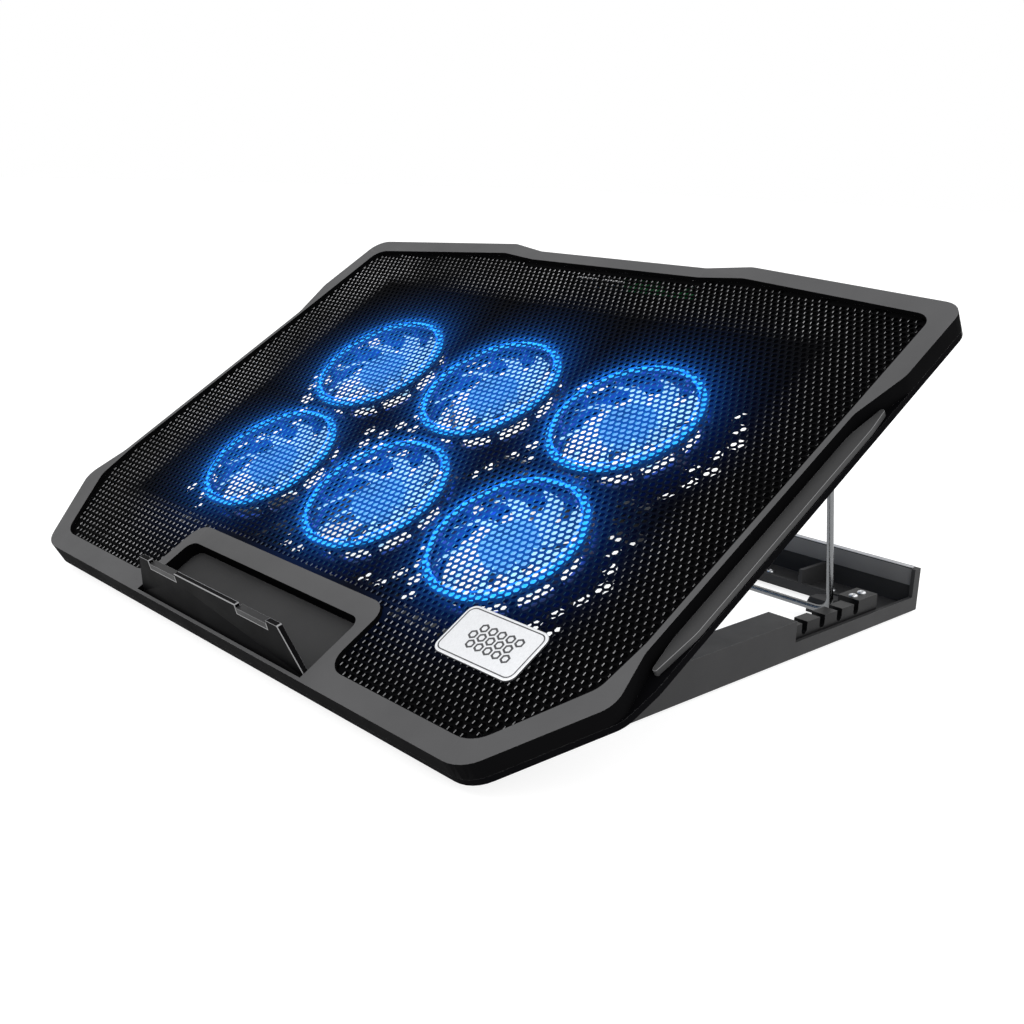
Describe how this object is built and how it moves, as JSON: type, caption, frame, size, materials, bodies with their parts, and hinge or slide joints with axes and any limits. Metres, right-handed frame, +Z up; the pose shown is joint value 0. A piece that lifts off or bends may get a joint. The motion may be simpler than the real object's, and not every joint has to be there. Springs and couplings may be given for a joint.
{
  "type": "laptop cooling pad",
  "caption": "Laptop cooling pad: perforated tilting deck with lit fans, a flip-up front stopper and rear wire prop on a flat open base with notched racks.",
  "frame": {"origin": "centre of the bounding box in plan, on the table under the rubber feet", "axes": "+Z up, +Y to the back (the raised edge of the deck), +X to the right seen from the front"},
  "size_m": [0.38, 0.2982, 0.1597],
  "materials": {
    "base_plastic": "fine matte texture, dark grey",
    "black_plastic": "satin black",
    "steel": "bright screws and pins",
    "rubber": "matte black",
    "bezel_plastic": "fine matte texture, mid grey",
    "steel_mesh": "black powder coat",
    "housing_plastic": "fine matte texture, black",
    "plate": "bright satin plate",
    "circuit_board": "green lacquer",
    "socket_metal": "plated steel",
    "wheel_plastic": "ribbed black",
    "fan_plastic": "satin, near black",
    "motor_metal": "copper windings",
    "light_ring": "lit blue light guide",
    "rotor_plastic": "translucent blue, lit",
    "prop_wire": "bright round steel wire",
    "stopper_plastic": "fine matte texture, near black",
    "bumper_rubber": "soft grey rubber"
  },
  "bodies": {
    "base": {"base_frame": "base_plastic", "notch_rack_left": "black_plastic", "notch_rack_right": "black_plastic", "rack_screws": "steel", "rubber_feet": "rubber", "hinge_pin_left": "steel", "hinge_pin_right": "steel"},
    "deck": {"top_bezel": "bezel_plastic", "mesh_panel": "steel_mesh", "bottom_housing": "housing_plastic", "wing_strip_left": "bezel_plastic", "wing_strip_right": "bezel_plastic", "nameplate": "plate", "control_board": "circuit_board", "usb_sockets": "socket_metal", "prop_clip_left": "black_plastic", "prop_clip_right": "black_plastic", "housing_screws": "steel", "stopper_pin": "steel", "fan_frame_1": "fan_plastic", "fan_frame_2": "fan_plastic", "fan_frame_3": "fan_plastic", "fan_frame_4": "fan_plastic", "fan_frame_5": "fan_plastic", "fan_frame_6": "fan_plastic", "fan_motor_1": "motor_metal", "fan_motor_2": "motor_metal", "fan_motor_3": "motor_metal", "fan_motor_4": "motor_metal", "fan_motor_5": "motor_metal", "fan_motor_6": "motor_metal", "led_ring_1": "light_ring", "led_ring_2": "light_ring", "led_ring_3": "light_ring", "led_ring_4": "light_ring", "led_ring_5": "light_ring", "led_ring_6": "light_ring"},
    "wheel": {"speed_wheel": "wheel_plastic"},
    "prop": {"wire_prop": "prop_wire"},
    "stopper": {"stopper_flap": "stopper_plastic", "flap_bumpers": "bumper_rubber"},
    "rotor_1": {"fan_rotor_1": "rotor_plastic"},
    "rotor_2": {"fan_rotor_2": "rotor_plastic"},
    "rotor_3": {"fan_rotor_3": "rotor_plastic"},
    "rotor_4": {"fan_rotor_4": "rotor_plastic"},
    "rotor_5": {"fan_rotor_5": "rotor_plastic"},
    "rotor_6": {"fan_rotor_6": "rotor_plastic"}
  },
  "joints": [
    {"name": "panel_tilt", "type": "hinge", "parent": "base", "child": "deck", "pos_m": [0, -0.10863, 0.01348], "axis": [1, 0, 0], "range_deg": [-31.5, 0]},
    {"name": "prop_swing", "type": "hinge", "parent": "deck", "child": "prop", "pos_m": [0, 0.081, 0.12968], "axis": [1, 0, 0], "range_deg": [-67, 0.5]},
    {"name": "stopper_fold", "type": "hinge", "parent": "deck", "child": "stopper", "pos_m": [0, -0.14151, 0.01221], "axis": [1, 0, 0], "range_deg": [-76, 0]},
    {"name": "speed_turn", "type": "hinge", "parent": "deck", "child": "wheel", "pos_m": [0.04, 0.08681, 0.14967], "axis": [0, -0.5225, 0.8526], "range_deg": [-135, 135]},
    {"name": "fan_spin_1", "type": "hinge", "parent": "deck", "child": "rotor_1", "pos_m": [-0.085, -0.05918, 0.05317], "axis": [0, -0.5225, 0.8526], "continuous": true},
    {"name": "fan_spin_2", "type": "hinge", "parent": "deck", "child": "rotor_2", "pos_m": [0, -0.05918, 0.05317], "axis": [0, -0.5225, 0.8526], "continuous": true},
    {"name": "fan_spin_3", "type": "hinge", "parent": "deck", "child": "rotor_3", "pos_m": [0.085, -0.05918, 0.05317], "axis": [0, -0.5225, 0.8526], "continuous": true},
    {"name": "fan_spin_4", "type": "hinge", "parent": "deck", "child": "rotor_4", "pos_m": [-0.085, 0.00733, 0.09392], "axis": [0, -0.5225, 0.8526], "continuous": true},
    {"name": "fan_spin_5", "type": "hinge", "parent": "deck", "child": "rotor_5", "pos_m": [0, 0.00733, 0.09392], "axis": [0, -0.5225, 0.8526], "continuous": true},
    {"name": "fan_spin_6", "type": "hinge", "parent": "deck", "child": "rotor_6", "pos_m": [0.085, 0.00733, 0.09392], "axis": [0, -0.5225, 0.8526], "continuous": true}
  ],
  "couplings": [
    {"joint": "prop_swing", "follows": "panel_tilt", "ratio": 2.11}
  ]
}
